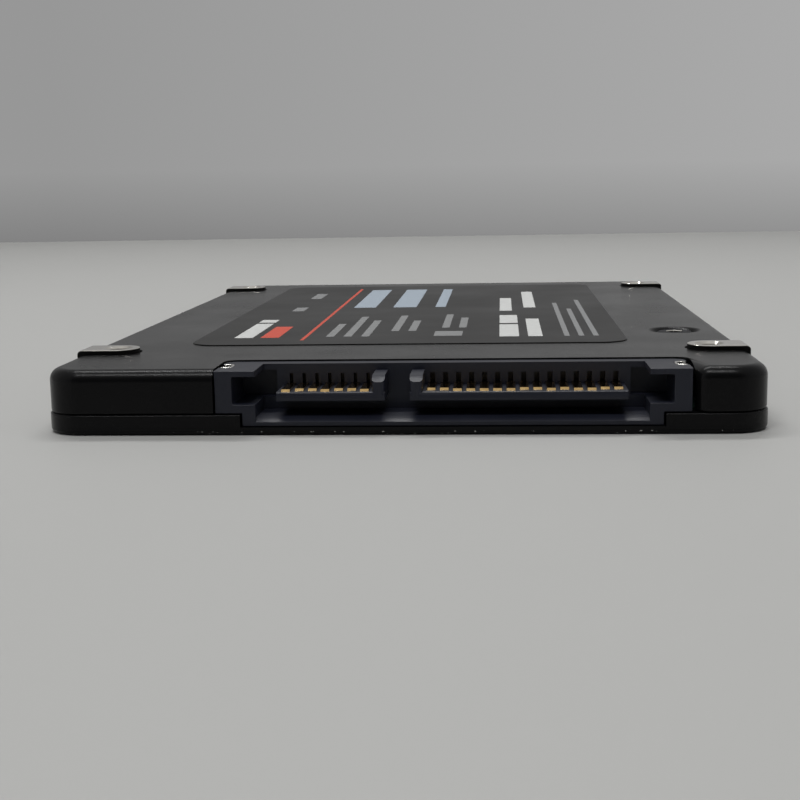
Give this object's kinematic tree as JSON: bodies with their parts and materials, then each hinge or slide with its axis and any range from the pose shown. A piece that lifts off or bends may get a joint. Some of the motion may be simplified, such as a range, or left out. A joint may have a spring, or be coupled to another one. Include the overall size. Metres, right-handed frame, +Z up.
{
  "type": "sata solid state drive",
  "caption": "Flat solid state drive for a 2.5 inch bay: two-part metal case with rounded corners, tapped corner brackets, a label field and a keyed data and power connector at one end.",
  "frame": {"origin": "middle of the lower cover's resting face", "axes": "+Z up out of the label side, +Y along the drive away from the connector, +X to the right seen from the connector end with the label side up"},
  "size_m": [0.0698, 0.1, 0.0068],
  "materials": {
    "case_coating": "satin black coating with a fine grain",
    "plated_steel": "bright plated sheet",
    "blackened_steel": "black oxide",
    "connector_plastic": "moulded, satin, dark blue grey",
    "gold_plate": "gold plated",
    "tinned_metal": "bright tin plate",
    "board_laminate": "green solder mask",
    "chip_moulding": "moulded, matt",
    "thermal_rubber": "soft filled silicone",
    "ferrite": "moulded, matt",
    "crystal_can": "bright lid",
    "capacitor_ceramic": "fired, matt",
    "resistor_ceramic": "fired, matt",
    "label_film": "printed film, satin black"
  },
  "bodies": {
    "root": {"upper_case": "case_coating", "lower_cover": "case_coating", "mount_bracket_front_left": "plated_steel", "mount_bracket_front_right": "plated_steel", "mount_bracket_rear_left": "plated_steel", "mount_bracket_rear_right": "plated_steel", "case_screws": "blackened_steel", "connector_housing": "connector_plastic", "signal_contacts": "gold_plate", "power_contacts": "gold_plate", "hold_down_left": "tinned_metal", "hold_down_right": "tinned_metal", "circuit_board": "board_laminate", "controller": "chip_moulding", "memory_chip": "chip_moulding", "flash_package_left": "chip_moulding", "flash_package_right": "chip_moulding", "power_regulator": "chip_moulding", "thermal_pad_controller": "thermal_rubber", "thermal_pad_memory": "thermal_rubber", "thermal_pad_flash_left": "thermal_rubber", "thermal_pad_flash_right": "thermal_rubber", "inductors": "ferrite", "crystal": "crystal_can", "capacitors": "capacitor_ceramic", "resistors": "resistor_ceramic", "label": "label_film"}
  },
  "joints": []
}
